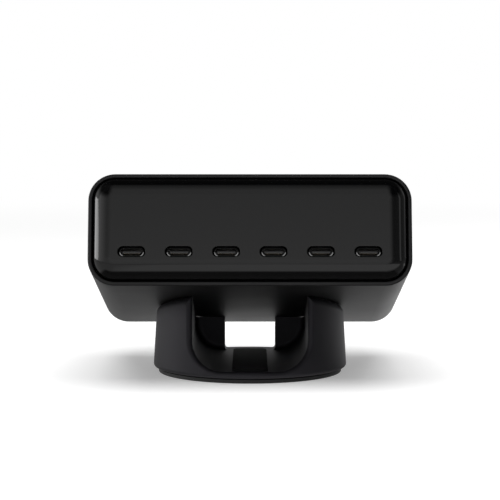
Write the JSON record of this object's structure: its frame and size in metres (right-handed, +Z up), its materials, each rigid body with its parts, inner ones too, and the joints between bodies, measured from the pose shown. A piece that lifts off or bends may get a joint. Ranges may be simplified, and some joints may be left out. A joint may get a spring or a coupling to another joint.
{
  "type": "multi port usb desktop charger",
  "caption": "Rounded black desktop charger with a glossy front panel and a row of USB-C ports, lying tilted on a round cradle stand with a U-shaped channel.",
  "frame": {"origin": "centre of the stand's foot, on the desk", "axes": "+Z up, ports face -Y and tilt up, +X to the right as seen by someone facing the ports"},
  "size_m": [0.12, 0.1072, 0.0791],
  "materials": {
    "satin_shell": "fine satin moulded black",
    "gloss_panel": "polished black",
    "stand_plastic": "fine matte moulded black",
    "foot_rubber": "matte black rubber",
    "port_steel": "drawn steel",
    "tongue_plastic": "moulded black",
    "inlet_plastic": "moulded black",
    "pin_metal": "plated pins",
    "circuit_board": "green solder mask",
    "can_sleeve": "drawn cans",
    "ferrite": "sintered ferrite",
    "winding_copper": "enamelled copper wire",
    "component_plastic": "moulded packages",
    "heat_aluminium": "plain sheet",
    "insulating_film": "milky film",
    "thermal_silicone": "grey silicone",
    "screw_steel": "zinc plated"
  },
  "bodies": {
    "root": {"housing_sleeve": "satin_shell", "rear_panel": "satin_shell", "front_panel": "gloss_panel", "stand_body": "stand_plastic", "base_plate": "stand_plastic", "rubber_foot": "foot_rubber", "cradle_strip": "foot_rubber", "usb_shell_1": "port_steel", "usb_shell_2": "port_steel", "usb_shell_3": "port_steel", "usb_shell_4": "port_steel", "usb_shell_5": "port_steel", "usb_shell_6": "port_steel", "usb_tongue_1": "tongue_plastic", "usb_tongue_2": "tongue_plastic", "usb_tongue_3": "tongue_plastic", "usb_tongue_4": "tongue_plastic", "usb_tongue_5": "tongue_plastic", "usb_tongue_6": "tongue_plastic", "ac_inlet_body": "inlet_plastic", "ac_inlet_pins": "pin_metal", "main_board": "circuit_board", "control_board": "circuit_board", "bulk_capacitors": "can_sleeve", "output_capacitors": "can_sleeve", "transformer_core": "ferrite", "boost_choke_core": "ferrite", "filter_choke_core": "ferrite", "output_inductors": "ferrite", "transformer_winding": "winding_copper", "boost_choke_winding": "winding_copper", "filter_choke_winding": "winding_copper", "filter_capacitor": "component_plastic", "mains_fuse": "component_plastic", "safety_capacitor": "component_plastic", "bridge_rectifier": "component_plastic", "power_switches": "component_plastic", "optocouplers": "component_plastic", "lower_heat_spreader": "heat_aluminium", "upper_heat_spreader": "heat_aluminium", "rectifier_heatsink": "heat_aluminium", "insulating_sheet": "insulating_film", "lower_thermal_pads": "thermal_silicone", "transformer_thermal_pad": "thermal_silicone", "boost_choke_thermal_pad": "thermal_silicone", "base_screws": "screw_steel"}
  },
  "joints": []
}
